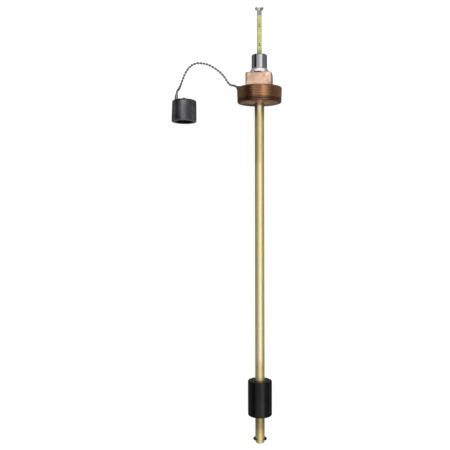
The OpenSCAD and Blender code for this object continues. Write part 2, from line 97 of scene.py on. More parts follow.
# A ramp only holds values up to 1, so the lists round a piece go through it divided by this
LIST_TOP = 4.0
# The lists below go by degrees round a lying piece, from straight up towards the right.
# How bright the light tent is
TENT_BANDS = [
    (-90, 0.14), (-80, 0.13), (-75, 0.02), (-50, 0.02), (-43, 0.5), (-2, 0.7), (4, 1.2),
    (36, 1.2), (43, 0.32), (49, 0.21), (90, 0.22),
]
# How many times as light as its own colour the thread, the cap and the float are painted, by the angle round
# each: painted highlights above 1 and painted shade below 1
THREAD_PAINTED_LIGHT = [
    (-180, 1.0), (-85, 0.9), (-62, 2.2), (-52, 2.1), (-42, 1.4), (-33, 1.0), (-25, 1.45), (-17, 2.0),
    (-9, 1.65), (0, 1.6), (7, 2.2), (14, 1.9), (22, 1.7), (31, 1.65), (42, 1.7), (62, 2.9), (85, 1.6),
    (180, 1.0),
]
CAP_PAINTED_LIGHT = [
    (-180, 1.0), (-90, 0.5), (-66, 0.7), (-48, 2.0), (-37, 0.4), (-26, 0.5), (-14, 1.2), (-4, 3.2),
    (4, 2.8), (12, 1.6), (20, 1.0), (37, 1.0), (45, 1.5), (55, 1.5), (69, 1.2), (90, 0.6), (180, 1.0),
]
FLOAT_PAINTED_LIGHT = [
    (-180, 1.0), (-60, 1.0), (-40, 0.6), (-20, 1.5), (0, 1.8), (6, 3.2), (13, 4.0), (20, 1.6), (30, 1.0),
    (45, 0.5), (60, 1.6), (180, 1.0),
]
# How much painted highlight the brass gets where the float runs, and how much painted shade it gets just
# under the plug
BRASS_PAINTED_HIGHLIGHT = [(-180, 0.5), (-60, 0.5), (-45, 1.0), (15, 1.0), (35, 0.6), (50, 0.3), (180, 0.5)]
BRASS_SHADE = [
    (-180, 0.9), (-55, 1.0), (-42, 1.0), (-30, 0.4), (-20, 0.0), (12, 0.0), (27, 0.75), (60, 0.7),
    (180, 0.9),
]


class ChainSizes(bpy.types.PropertyGroup):
    bead_d: FloatProperty(
        name="Bead", description="Diameter of a bead", default=0.0032, min=0.001, max=0.01,
        subtype="DISTANCE", unit="LENGTH")
    bead_pitch: FloatProperty(
        name="Pitch", description="Distance from one bead to the next", default=0.00435, min=0.002, max=0.02,
        subtype="DISTANCE", unit="LENGTH")
    link_d: FloatProperty(
        name="Link", description="Diameter of the wire between beads", default=0.0012, min=0.0003, max=0.002,
        subtype="DISTANCE", unit="LENGTH")
    metal: FloatVectorProperty(
        name="Metal", description="Colour of the plated beads", default=(0.4, 0.4, 0.41), min=0, max=1,
        subtype="COLOR")


class TapeSizes(bpy.types.PropertyGroup):
    width: FloatProperty(
        name="Width", description="Width of the tape", default=0.00635, min=0.003, max=0.01,
        subtype="DISTANCE", unit="LENGTH")
    thickness: FloatProperty(
        name="Thickness", description="Thickness of the tape", default=0.00025, min=0.0001, max=0.001,
        subtype="DISTANCE", unit="LENGTH")
    curl: FloatProperty(
        name="Curl", description="How far the tape's edges stand forward of its middle", default=0.00045,
        min=0.0001, max=0.001, subtype="DISTANCE", unit="LENGTH")
    first_line: FloatProperty(
        name="First line", description="Height of the first numbered line above the plug's upper face",
        default=0.0811, subtype="DISTANCE", unit="LENGTH")
    lines: IntProperty(
        name="Numbered lines", description="How many numbered lines the tape has", default=19, min=1, max=60)
    numeral: FloatProperty(
        name="Numeral", description="Height of the numerals", default=0.0036, min=0.001, max=0.006,
        subtype="DISTANCE", unit="LENGTH")
    paint: FloatVectorProperty(
        name="Enamel", description="Colour of the tape's enamel", default=(0.53, 0.57, 0.195), min=0, max=1,
        subtype="COLOR")
    ink: FloatVectorProperty(
        name="Ink", description="Colour of the printed scale", default=(0.012, 0.013, 0.012), min=0, max=1,
        subtype="COLOR")


class MetalColours(bpy.types.PropertyGroup):
    head: FloatVectorProperty(
        name="Plug head", description="Machined bronze of the square head", default=(0.92, 0.58, 0.42),
        min=0, max=1, subtype="COLOR")
    thread: FloatVectorProperty(
        name="Plug thread", description="Darkened bronze of the threaded disc", default=(0.36, 0.2, 0.12),
        min=0, max=1, subtype="COLOR")
    brass: FloatVectorProperty(
        name="Brass", description="Drawn brass of the stem", default=(0.93, 0.75, 0.36),
        min=0, max=1, subtype="COLOR")
    nickel: FloatVectorProperty(
        name="Nickel", description="Nickel plate of the top fitting", default=(0.57, 0.56, 0.575),
        min=0, max=1, subtype="COLOR")
    steel: FloatVectorProperty(
        name="Steel", description="Satin steel of clip, tab, rivets and screws", default=(0.42, 0.42, 0.42),
        min=0, max=1, subtype="COLOR")
    dark_steel: FloatVectorProperty(
        name="Spring steel", description="Oxide on the stop ring", default=(0.07, 0.06, 0.055),
        min=0, max=1, subtype="COLOR")


class DarkColours(bpy.types.PropertyGroup):
    rubber: FloatVectorProperty(
        name="Float rubber", description="Skin of the float", default=(0.0035, 0.0035, 0.0037),
        min=0, max=1, subtype="COLOR")
    cap: FloatVectorProperty(
        name="Cap plastic", description="Charcoal plastic of the cap", default=(0.045, 0.045, 0.048),
        min=0, max=1, subtype="COLOR")
    bush: FloatVectorProperty(
        name="Bush plastic", description="Black plastic of the slotted bush", default=(0.02, 0.02, 0.022),
        min=0, max=1, subtype="COLOR")
    magnet: FloatVectorProperty(
        name="Magnet", description="Sintered magnets", default=(0.09, 0.085, 0.085),
        min=0, max=1, subtype="COLOR")
    packing: FloatVectorProperty(
        name="Packing", description="White packing ring", default=(0.78, 0.77, 0.72),
        min=0, max=1, subtype="COLOR")


class StudioSettings(bpy.types.PropertyGroup):
    lens: FloatProperty(
        name="Lens", description="Focal length of the camera, in millimetres", default=50, min=20)
    camera_at: FloatVectorProperty(
        name="Camera", description="Where the camera stands", default=(-0.04665, -0.18324, 0.836),
        subtype="TRANSLATION", unit="LENGTH")
    roll: FloatProperty(
        name="Roll", description="How far the picture is turned against the clock", default=0.0036,
        min=-0.1, max=0.1, subtype="ANGLE", unit="ROTATION")
    tent: FloatProperty(
        name="Tent", description="Strength of the light tent", default=1.0, min=0, max=10)
    lamp: FloatProperty(
        name="Overhead lamp", description="Power of the soft overhead lamp", default=10.5, min=0, max=100,
        unit="POWER")
    floor: FloatVectorProperty(
        name="Floor", description="Colour of the floor", default=(0.4, 0.4, 0.4), min=0, max=1,
        subtype="COLOR")
    floor_glow: FloatProperty(
        name="Floor glow", description="How much of the floor's white the camera sees without light",
        default=0.78, min=0, max=1)
    table: FloatVectorProperty(
        name="Table card", description="Dark card that only reflections show, beside and under the object",
        default=(0.165, 0.17, 0.155), min=0, max=1, subtype="COLOR")


def on_stem(x, y, s):
    """Where a place on the upright instrument, at height s along the stem, lies."""
    return Vector((x, y * math.sin(LIE) + s * math.cos(LIE), s * math.sin(LIE) - y * math.cos(LIE)))


class Tree:
    """Adds nodes to a tree and joins them."""

    def __init__(self, tree):
        self.tree = tree

    def add(self, kind, inputs=(), **settings):
        node = self.tree.nodes.new(kind)
        for key, value in settings.items():
            setattr(node, key, value)
        for key, value in dict(inputs).items():
            self.put(node.inputs[key], value)
        return node

    def put(self, socket, value):
        if isinstance(value, bpy.types.Node):
            value = value.outputs[0]
        if isinstance(value, bpy.types.NodeSocket):
            self.tree.links.new(value, socket)
        elif socket.type == "RGBA" and len(value) == 3:
            socket.default_value = (*value, 1)
        else:
            socket.default_value = value

    def calc(self, operation, a, b=0.0, c=0.0):
        return self.add("ShaderNodeMath", {0: a, 1: b, 2: c}, operation=operation).outputs[0]

    def times(self, *values):
        product = values[0]
        for value in values[1:]:
            product = self.calc("MULTIPLY", product, value)
        return product

    def split(self, vector):
        return self.add("ShaderNodeSeparateXYZ", {0: vector}).outputs

    def reach(self, a, b):
        """How far a place is from an axis, from its distances in the two directions across it."""
        return self.calc("SQRT", self.calc("ADD", self.times(a, a), self.times(b, b)))

    def smooth(self, value, low, high):
        """0 up to low, 1 from high on, and soft between. High may be the smaller of the two."""
        node = self.add("ShaderNodeMapRange", {0: value, 1: low, 2: high}, interpolation_type="SMOOTHSTEP")
        return node.outputs[0]

    def ranged(self, value, low, high, top=1.0):
        """Low where value is 0, high where it is top, and in proportion between."""
        return self.add("ShaderNodeMapRange", {0: value, 2: top, 3: low, 4: high}).outputs[0]

    def noise(self, vector, scale, stretch=(1, 1, 1), detail=3.0, roughness=0.5, turn=(0, 0, 0)):
        if turn != (0, 0, 0):
            vector = self.add("ShaderNodeMapping", {"Vector": vector, "Rotation": turn})
        placed = self.add("ShaderNodeMapping", {"Vector": vector, "Scale": stretch})
        return self.add("ShaderNodeTexNoise", {
            "Vector": placed, "Scale": scale, "Detail": detail, "Roughness": roughness}).outputs[0]

    def mix(self, share, a, b):
        node = self.add("ShaderNodeMix", data_type="RGBA")
        self.put(node.inputs[0], share)
        self.put(node.inputs[6], a)
        self.put(node.inputs[7], b)
        return node.outputs[2]

    def between(self, share, colour, low, high):
        """A colour that varies between low and high times itself."""
        return self.mix(share, shade(colour, low), shade(colour, high))

    def coat(self, base, mask, colour, strength=1.0):
        """Puts a colour over base where mask is 1, as strongly as strength says."""
        return self.mix(mask if strength == 1.0 else self.times(mask, strength), base, colour)

    def joined(self, *parts):
        node = self.add("GeometryNodeJoinGeometry")
        for part in parts:
            self.put(node.inputs[0], part)
        return node

    def ramp(self, value, stops):
        """A grey from a list of places between 0 and 1, each with its brightness."""
        node = self.add("ShaderNodeValToRGB", {0: value})
        points = node.color_ramp.elements
        while len(points) < len(stops):
            points.new(0.5)
        for point, (place, bright) in zip(points, stops):
            point.position = place
            point.color = (bright, bright, bright, 1)
        return node.outputs[0]

    def bump(self, height, distance, strength=1.0, normal=None):
        node = self.add("ShaderNodeBump", {"Height": height, "Distance": distance, "Strength": strength})
        if normal is not None:
            self.put(node.inputs["Normal"], normal)
        return node.outputs[0]


class Finish(Tree):
    """A surface finish: a principled shader, and the place on the object as it lies and along the stem."""

    def __init__(self, name):
        self.material = bpy.data.materials.new(name)
        self.material.use_nodes = True
        super().__init__(self.material.node_tree)
        self.shader = next(n for n in self.tree.nodes if n.type == "BSDF_PRINCIPLED")
        self.place = self.add("ShaderNodeTexCoord").outputs["Object"]
        # The same place as distances right of the stem's axis, along it and up from it
        turned = self.add("ShaderNodeMapping", {"Vector": self.place, "Rotation": (-LIE, 0, 0)})
        self.along = turned.outputs[0]
        self.right, self.height, self.rise = self.split(self.along)

    def set(self, **inputs):
        for key, value in inputs.items():
            self.put(self.shader.inputs[key.replace("_", " ")], value)

    def around(self, stops, vector=None):
        """A value from a list, by the angle round the stem or round the axis a vector is counted from."""
        right, _, rise = self.split(self.along if vector is None else vector)
        share = self.calc("ADD", self.calc("DIVIDE", self.calc("ARCTAN2", right, rise), 2 * math.pi), 0.5)
        ramp = self.ramp(share, [(0.5 + angle / 360, value / LIST_TOP) for angle, value in stops])
        return self.times(ramp, LIST_TOP)

    def spot(self, at, size):
        """1 at a place on the object, fading raggedly to 0 at a distance of size."""
        away = self.add("ShaderNodeVectorMath", {0: self.place, 1: at}, operation="DISTANCE")
        cloud = self.calc("SUBTRACT", self.noise(self.place, 1.1 / size, detail=5), 0.5)
        ragged = self.calc("ADD", away.outputs["Value"], self.times(cloud, size * 2.2))
        return self.smooth(ragged, size, 0.0)

    def tinted(self, colour, by):
        """A colour times a value."""
        return self.add("ShaderNodeVectorMath", {0: colour, "Scale": by}, operation="SCALE").outputs[0]


def shade(colour, by):
    return tuple(min(1.0, c * by) for c in colour)


def give(material, *nodes):
    """Puts a finish on CAD nodes."""
    for name in nodes:
        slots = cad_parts[name].material_slots
        if not slots:
            raise RuntimeError(f"{name} has no place for a finish")
        for each in slots:
            each.material = material


def new_tree(name, inputs):
    """A Geometry Nodes tree with named inputs, each a name, a kind of socket and a default."""
    tree = bpy.data.node_groups.new(name, "GeometryNodeTree")
    tree.interface.new_socket(name="Geometry", in_out="INPUT", socket_type="NodeSocketGeometry")
    tree.interface.new_socket(name="Geometry", in_out="OUTPUT", socket_type="NodeSocketGeometry")
    for label, kind, default in inputs:
        socket = tree.interface.new_socket(name=label, in_out="INPUT", socket_type=kind)
        socket.default_value = default
    return tree


def run_tree(obj, tree, values):
    """Puts the tree on the object with these values, and turns the result into a plain mesh."""
    modifier = obj.modifiers.new(tree.name, "NODES")
    modifier.node_group = tree
    for item in tree.interface.items_tree:
        if item.item_type == "SOCKET" and item.in_out == "INPUT" and item.name in values:
            modifier[item.identifier] = values[item.name]
    bpy.context.view_layer.update()
    graph = bpy.context.evaluated_depsgraph_get()
    made = bpy.data.meshes.new_from_object(obj.evaluated_get(graph))
    if not made.polygons:
        raise RuntimeError(f"{obj.name} came out empty")
    obj.modifiers.clear()
    obj.data = made


def new_piece(name, data):
    obj = bpy.data.objects.new(name, data)
    bpy.context.scene.collection.objects.link(obj)
    return obj


def mesh_piece(name, form, material):
    """Turns a bmesh into a piece with a material."""
    mesh = bpy.data.meshes.new(name)
    form.to_mesh(mesh)
    form.free()
    mesh.materials.append(material)
    return new_piece(name.replace(" ", "_"), mesh)


def seen_ray(tree):
    """1 for what the camera sees, straight, in a reflection or through glass, and 0 for the light itself."""
    path = tree.add("ShaderNodeLightPath").outputs
    mirrored = tree.calc("MAXIMUM", path["Is Glossy Ray"], path["Is Transmission Ray"])
    return tree.calc("MAXIMUM", path["Is Camera Ray"], mirrored)


def chain_line():
    """The chain's centreline, as a smooth line through the route."""
    def at(i):
        return Vector(CHAIN_ROUTE[max(0, min(len(CHAIN_ROUTE) - 1, i))])
    line = []
    for i in range(len(CHAIN_ROUTE) - 1):
        a, b, c, d = at(i - 1), at(i), at(i + 1), at(i + 2)
        for k in range(CHAIN_STEPS):
            t = k / CHAIN_STEPS
            line.append(0.5 * (2 * b + (c - a) * t + (2 * a - 5 * b + 4 * c - d) * t * t
                               + (3 * b - a - 3 * c + d) * t * t * t))
    line.append(at(len(CHAIN_ROUTE) - 1))
    return [p / 1000 + Vector((0, 0, CHAIN_LIE)) for p in line]


def chain_finish(colour):
    f = Finish("plated beads")
    dull = f.noise(f.place, 900, detail=4)
    f.set(Base_Color=f.between(dull, colour, 0.62, 1.2), Metallic=1.0, Roughness=f.ranged(dull, 0.22, 0.42),
          Normal=f.bump(f.noise(f.place, 2600), 0.00004))
    return f.material


def bead_tree(material):
    """Beads at equal steps along a line, each with a collar at its two holes, and the wire through them."""
    tree = new_tree("bead chain", [
        ("Beads", "NodeSocketInt", 30), ("Bead diameter", "NodeSocketFloat", 0.0032),
        ("Link diameter", "NodeSocketFloat", 0.0012)])
    t = Tree(tree)
    given = t.add("NodeGroupInput")
    beads, bead_d, link_d = (given.outputs[n] for n in ("Beads", "Bead diameter", "Link diameter"))
    line = t.add("GeometryNodeMeshToCurve", {0: given.outputs["Geometry"]})
    even = t.add("GeometryNodeResampleCurve", {"Curve": line, "Count": beads}).outputs[0]
    ball = t.add("GeometryNodeMeshUVSphere", {"Segments": 24, "Rings": 14, "Radius": t.times(bead_d, 0.5)})
    collar = t.add("GeometryNodeMeshCylinder", {
        "Vertices": 16, "Radius": t.times(link_d, 0.85), "Depth": t.times(bead_d, 1.02)})
    bead = t.joined(ball, collar)
    turned = t.add("FunctionNodeAlignRotationToVector", {
        "Vector": t.add("GeometryNodeInputTangent")}, axis="Z")
    placed = t.add("GeometryNodeInstanceOnPoints", {
        "Points": even, "Instance": bead, "Rotation": turned})
    ring = t.add("GeometryNodeCurvePrimitiveCircle", {"Resolution": 10, "Radius": t.times(link_d, 0.5)})
    wire = t.add("GeometryNodeCurveToMesh", {"Curve": even, "Profile Curve": ring, "Fill Caps": True})
    real = t.add("GeometryNodeRealizeInstances", {0: t.joined(placed, wire)})
    soft = t.add("GeometryNodeSetShadeSmooth", {"Geometry": real})
    done = t.add("GeometryNodeSetMaterial", {"Geometry": soft, "Material": material})
    t.add("NodeGroupOutput", {"Geometry": done})
    return tree


def curl_radius(tape):
    return ((tape.width / 2) ** 2 + tape.curl ** 2) / (2 * tape.curl)


def scale_tree(material):
    """Lines across the tape at every eighth, on both edges, and right across at each numbered line."""
    tree = new_tree("tape scale", [
        ("Marks", "NodeSocketInt", 100), ("First mark", "NodeSocketFloat", 0.09),
        ("Step", "NodeSocketFloat", 0.003175), ("Width", "NodeSocketFloat", 0.006),
        ("Line", "NodeSocketFloat", 0.0003), ("Ink", "NodeSocketFloat", 0.00002),
        ("Curl radius", "NodeSocketFloat", 0.011), ("Front", "NodeSocketFloat", 0.0),
        ("Phase", "NodeSocketInt", 3), ("Slope", "NodeSocketFloat", 0.0)])
    t = Tree(tree)
    g = t.add("NodeGroupInput").outputs
    down = t.add("ShaderNodeCombineXYZ", {2: t.times(g["Step"], -1.0)})
    start = t.add("ShaderNodeCombineXYZ", {2: g["First mark"]})
    row = t.add("GeometryNodeMeshLine", {
        "Count": g["Marks"], "Start Location": start, "Offset": down}).outputs[0]
    # How many eighths a mark is under a numbered line
    order = t.calc("ADD", t.add("GeometryNodeInputIndex"), t.calc("SUBTRACT", 8.0, g["Phase"]))
    eighth = t.calc("MODULO", order, 8.0)
    inch = t.calc("COMPARE", eighth, 0.0, 0.1)
    half = t.calc("COMPARE", eighth, 4.0, 0.1)
    quarter = t.calc("COMPARE", t.calc("MODULO", order, 2.0), 0.0, 0.1)
    # How far it reaches in from the tape's edge, as a share of the width
    short = t.calc("ADD", t.times(quarter, 0.07), 0.17)
    share = t.calc("MAXIMUM", t.times(inch, 0.485), t.calc("MAXIMUM", t.times(half, 0.32), short))
    long = t.times(share, g["Width"])
    wide = t.times(g["Line"], t.calc("ADD", t.times(inch, 0.5), 1.0))
    out = t.calc("SUBTRACT", t.times(g["Width"], 0.49), t.times(long, 0.5))
    block = t.add("GeometryNodeMeshCube", {
        "Size": (1, 1, 1), "Vertices X": 5, "Vertices Y": 2, "Vertices Z": 2}).outputs[0]
    sides = []
    for side in (-1.0, 1.0):
        moved = t.add("GeometryNodeSetPosition", {
            "Geometry": row, "Offset": t.add("ShaderNodeCombineXYZ", {0: t.times(out, side)})})
        sides.append(t.add("GeometryNodeInstanceOnPoints", {
            "Points": moved, "Instance": block,
            "Scale": t.add("ShaderNodeCombineXYZ", {0: long, 1: g["Ink"], 2: wide})}))
    real = t.add("GeometryNodeRealizeInstances", {0: t.joined(*sides)})
    # The flat marks are bent to the tape's curl, then laid along the stem
    across, proud, height = t.split(t.add("GeometryNodeInputPosition"))
    turn = t.calc("DIVIDE", across, g["Curl radius"])
    radius = t.calc("ADD", g["Curl radius"], proud)
    raised = t.calc("SUBTRACT", t.times(radius, t.calc("COSINE", turn)), g["Curl radius"])
    bent = t.add("ShaderNodeCombineXYZ", {
        0: t.times(radius, t.calc("SINE", turn)), 1: t.calc("ADD", g["Front"], raised), 2: height})
    curved = t.add("GeometryNodeSetPosition", {"Geometry": real, "Position": bent})
    laid = t.add("GeometryNodeTransform", {
        "Geometry": curved, "Rotation": t.add("ShaderNodeCombineXYZ", {0: g["Slope"]})})
    done = t.add("GeometryNodeSetMaterial", {"Geometry": laid, "Material": material})
    t.add("NodeGroupOutput", {"Geometry": done})
    return tree


def numerals(tape, front):
    """The numbers beside the numbered lines, bent to the tape, as one mesh."""
    curl = curl_radius(tape)
    whole = bmesh.new()
    for n in range(tape.lines):
        text = bpy.data.curves.new("numeral", "FONT")
        text.body = str(n + 1)
        text.size = tape.numeral * NUMERAL_SIZE
        text.align_x = "CENTER"
        text.extrude = INK / 2
        text.offset = NUMERAL_BOLD
        writing = bpy.data.objects.new("numeral", text)
        bpy.context.scene.collection.objects.link(writing)
        bpy.context.view_layer.update()
        graph = bpy.context.evaluated_depsgraph_get()
        flat = bpy.data.meshes.new_from_object(writing.evaluated_get(graph))
        foot = tape.first_line - n * INCH + NUMERAL_LIFT
        for v in flat.vertices:
            x, up, out = v.co
            turn = x / curl
            radius = curl - out
            v.co = on_stem(radius * math.sin(turn), front + radius * math.cos(turn) - curl, foot + up)
        whole.from_mesh(flat)
        bpy.data.objects.remove(writing)
    mesh = bpy.data.meshes.new("tape numerals")
    bmesh.ops.remove_doubles(whole, verts=whole.verts, dist=1e-7)
    whole.to_mesh(mesh)
    whole.free()
    return mesh


def enamel_finish(tape):
    f = Finish("tape enamel")
    cloud = f.noise(f.along, 130, stretch=(1, 0.5, 1), detail=5)
    paint = f.between(f.smooth(cloud, 0.35, 0.68), tape.paint, 0.86, 1.12)
    # Painted shade along both edges of the tape, and more over its left side
    shaded_edges = f.smooth(f.calc("ABSOLUTE", f.right), 0.0022, 0.0032)
    paint = f.coat(paint, shaded_edges, shade(tape.paint, 0.6))
    paint = f.coat(paint, f.smooth(f.right, -0.0012, -0.0024), shade(tape.paint, 0.45), 0.6)
    # Painted shade where the tape goes into the fitting
    paint = f.coat(paint, f.smooth(f.height, 0.0525, 0.049), shade(tape.paint, 0.35), 0.55)
    f.set(Base_Color=paint, Metallic=0.0, Roughness=f.ranged(cloud, 0.3, 0.5),
          Normal=f.bump(f.noise(f.along, 1800, detail=2), 0.00002))
    return f.material


def ink_finish(colour):
    f = Finish("scale ink")
    f.set(Base_Color=f.between(f.noise(f.along, 900, detail=3), colour, 1, 2.6), Roughness=0.55)
    return f.material


def bronze_head(f, colour, mottle, streak):
    """The machined head, pale and stained in spots, with rubbed streaks on its right half, a painted
    highlight by its near right corner and painted shade on its upper left edge and lower right.
    """
    head = f.between(f.smooth(mottle, 0.36, 0.66), colour, 1, 0.8)
    head = f.coat(head, f.spot((-0.009, 0.0125, 0.0165), 0.0095), (0.62, 0.4, 0.26))
    head = f.coat(head, f.spot((-0.007, 0.0165, 0.0165), 0.006), (0.6, 0.42, 0.32), 0.7)
    marked = f.times(f.smooth(f.right, -0.002, 0.003), f.smooth(streak, 0.47, 0.62))
    head = f.coat(head, marked, (1.0, 0.78, 0.6), 0.85)
    rubbed = f.times(f.smooth(f.right, -0.003, 0.003), f.smooth(streak, 0.46, 0.36))
    head = f.coat(head, rubbed, (0.66, 0.36, 0.26), 0.6)
    # A painted highlight by the near right corner
    head = f.coat(head, f.spot((0.0105, 0.0152, 0.0175), 0.0045), (1.0, 0.93, 0.8))
    # Dirt on the top, and painted shade along the upper left edge
    dirt = f.calc("MAXIMUM", f.smooth(f.noise(f.place, 420, detail=5, roughness=0.6), 0.46, 0.6), 0.3)
    top = f.smooth(f.height, HEAD_TOP - 0.0018, HEAD_TOP - 0.0002)
    head = f.coat(head, f.times(dirt, top), (0.22, 0.1, 0.07))
    shaded_upper_left = f.times(f.smooth(f.right, -0.016, -0.0168), f.smooth(f.height, 0.004, 0.009))
    head = f.coat(head, shaded_upper_left, (0.12, 0.08, 0.06), 0.5)
    # Painted shade on the lower right
    return f.coat(head, f.spot((0.0135, 0.0015, 0.0165), 0.0065), (0.42, 0.25, 0.15), 0.75)


def bronze_thread(f, colour, mottle, away):
    """The thread, dark in its roots, with painted shade at the disc's two edges, and painted highlights and
    shade by the angle round the disc.
    """
    crest = f.calc("SUBTRACT", away, f.calc("ADD", f.times(f.height, THREAD_TAPER), THREAD_RADIUS))
    thread = f.between(f.smooth(mottle, 0.3, 0.7), colour, 0.75, 1.3)
    thread = f.coat(thread, f.smooth(crest, -0.0001, -0.0007), shade(colour, 0.7))
    # Painted highlights and shade by the angle round the disc, redder where it is shaded and more golden
    # where it is lit
    red, green, blue = colour
    painted_light = f.around(THREAD_PAINTED_LIGHT)
    thread = f.coat(thread, f.smooth(painted_light, 1.52, 1.0), (red, green * 0.8, blue * 0.76), 0.6)
    middle = f.smooth(f.calc("ABSOLUTE", f.right), 0.0185, 0.0125)
    golden = f.times(f.smooth(painted_light, 1.36, 1.92), middle)
    thread = f.coat(thread, golden, (red * 0.94, green * 1.08, blue * 1.04))
    thread = f.tinted(thread, painted_light)
    # Painted shade on the disc's lower part and along its upper edge
    thread = f.coat(thread, f.smooth(f.height, -0.0135, -0.0165), (0.1, 0.05, 0.035), 0.6)
    return f.coat(thread, f.smooth(f.height, -0.0012, -0.0003), (0.03, 0.018, 0.012))


def bronze_underside(f, mottle, away):
    """The disc's underside, reddish, with a painted reflection of the brass round the stem, and painted shade
    towards the surface and along its outer edge.
    """
    under = f.mix(f.smooth(mottle, 0.35, 0.65), (0.5, 0.17, 0.09), (0.62, 0.29, 0.15))
    # A painted reflection of the brass round the stem
    under = f.coat(under, f.smooth(away, 0.018, 0.009), (0.75, 0.5, 0.24))
    # Painted shadow towards the surface, stronger to the left, and painted shade along the outer edge
    shadow_to_left = f.calc("ADD", 0.3, f.times(f.smooth(f.right, 0.002, -0.005), 0.6))
    dark = (0.06, 0.025, 0.02)
    under = f.coat(under, f.times(f.smooth(f.split(f.place)[2], 0.0, -0.014), shadow_to_left), dark)
    return f.coat(under, f.smooth(away, 0.0235, 0.0275), dark)


def bronze_finish(metals):
    f = Finish("plug bronze")
    away = f.reach(f.right, f.rise)
    mottle = f.noise(f.place, 95, detail=5, roughness=0.55)
    fine = f.noise(f.place, 700, detail=4)
    streak = f.noise(
        f.place, 210, stretch=(1.0, 0.2, 1.0), detail=5, roughness=0.6, turn=(0, 0, math.radians(38)))
    below = f.smooth(f.height, DISC_FOOT + 0.0003, DISC_FOOT)
    disc = f.coat(bronze_thread(f, metals.thread, mottle, away), below, bronze_underside(f, mottle, away))
    on_head = f.times(f.smooth(f.height, 0.0, 0.0004), f.smooth(away, 0.026, 0.0255))
    f.set(Base_Color=f.coat(disc, on_head, bronze_head(f, metals.head, mottle, streak)),
          Metallic=f.calc("SUBTRACT", 1.0, f.times(f.calc("ADD", on_head, below), 0.5)),
          Roughness=f.ranged(fine, 0.24, 0.46),
          Normal=f.bump(fine, 0.00006, normal=f.bump(streak, 0.0001, 0.5)))
    return f.material


def nickel_finish(colour):
    f = Finish("nickel plate")
    cloud = f.noise(f.place, 220, detail=4)
    base = f.between(cloud, colour, 0.9, 1.08)
    # The hex is duller and paler than the spigot, with painted shade where it sits on the head
    hexed = f.smooth(f.height, HEX_TOP + 0.0001, HEX_TOP - 0.0007)
    base = f.coat(base, hexed, (0.82, 0.79, 0.8))
    seat_shade = f.times(
        f.smooth(f.height, HEAD_TOP + 0.0028, HEAD_TOP + 0.0022), f.smooth(f.right, -0.0085, -0.006),
        f.calc("SUBTRACT", 1.0, f.times(f.smooth(f.right, 0.001, 0.003), 0.7)))
    f.set(Base_Color=f.coat(base, seat_shade, (0.05, 0.035, 0.025)),
          Metallic=f.calc("SUBTRACT", 1.0, f.times(hexed, 0.6)),
          Roughness=f.ranged(f.calc("ADD", cloud, hexed), 0.05, 0.3, top=2.0),
          Normal=f.bump(f.noise(f.along, 60, stretch=(1, 90, 1), detail=3), 0.00001))
    return f.material


def brass_finish(colour):
    f = Finish("drawn brass")
    drawn = f.noise(f.along, 2600, stretch=(1, 0.008, 1), detail=3)
    stain = f.noise(f.along, 48, stretch=(1, 0.35, 1), detail=5, roughness=0.6)
    speck = f.smooth(f.noise(f.along, 520, detail=4, roughness=0.65), 0.62, 0.74)
    base = f.between(f.smooth(stain, 0.32, 0.68), colour, 0.84, 1.06)
    base = f.coat(base, speck, shade(colour, 0.5), 0.55)
    base = f.coat(base, f.smooth(drawn, 0.45, 0.75), shade(colour, 0.7), 0.35)
    # A painted highlight where the float runs, by the angle round the stem, and grimy below it
    highlight_band = f.times(f.smooth(f.height, -0.094, -0.112), f.smooth(f.height, -0.38, -0.36))
    highlight_colour = f.mix(f.smooth(f.height, -0.2, -0.3), (1.0, 0.89, 0.43), (1.0, 0.93, 0.55))
    base = f.coat(base, f.times(highlight_band, f.around(BRASS_PAINTED_HIGHLIGHT)), highlight_colour)
    grime = f.times(f.smooth(f.height, -0.41, -0.43), f.smooth(f.height, -0.472, -0.452))
    base = f.coat(base, grime, (0.24, 0.17, 0.07), 0.62)
    # Painted light just below the plug, and painted shade in the corner where the two meet and on the stem's
    # sides under the plug
    base = f.coat(base, f.smooth(f.height, -0.034, -0.026), (1.0, 0.93, 0.72), 0.9)
    shaded = f.times(f.smooth(f.height, -0.05, -0.022), f.around(BRASS_SHADE))
    base = f.coat(base, shaded, (0.04, 0.025, 0.008))
    base = f.coat(base, f.smooth(f.height, -0.0252, -0.0225), (0.3, 0.22, 0.12), 0.75)
    f.set(Base_Color=base, Metallic=0.82, Roughness=f.ranged(drawn, 0.36, 0.52),
          Normal=f.bump(drawn, 0.00002, normal=f.bump(stain, 0.0002, 0.4)))
    return f.material


def steel_finish(name, colour, rough):
    f = Finish(name)
    grain = f.noise(f.along, 1400, stretch=(1, 0.06, 1), detail=4)
    base = f.between(f.noise(f.place, 300, detail=4), colour, 0.7, 1.2)
    base = f.coat(base, f.smooth(f.noise(f.place, 380, detail=3), 0.5, 0.62), shade(colour, 0.3), 0.6)
    f.set(Base_Color=base, Metallic=1.0, Roughness=f.ranged(grain, rough * 0.8, rough * 1.3),
          Normal=f.bump(grain, 0.00003))
    return f.material


def moulded_finish(name, colour, rough, pore, depth, gloss=0.5):
    """Rubber or plastic: a fine skin, rubbed a little lighter in places."""
    f = Finish(name)
    cloud = f.noise(f.along, 90, detail=5)
    base = f.between(f.smooth(cloud, 0.35, 0.7), colour, 0.75, 1.35)
    dust = f.smooth(f.noise(f.place, pore * 0.6, detail=5, roughness=0.7), 0.6, 0.8)
    base = f.coat(base, dust, shade(colour, 2.6), 0.3)
    f.set(Base_Color=base, Roughness=f.ranged(cloud, rough * 0.85, rough * 1.15),
          Normal=f.bump(f.noise(f.place, pore, detail=4), depth), Specular_IOR_Level=gloss)
    return f, base


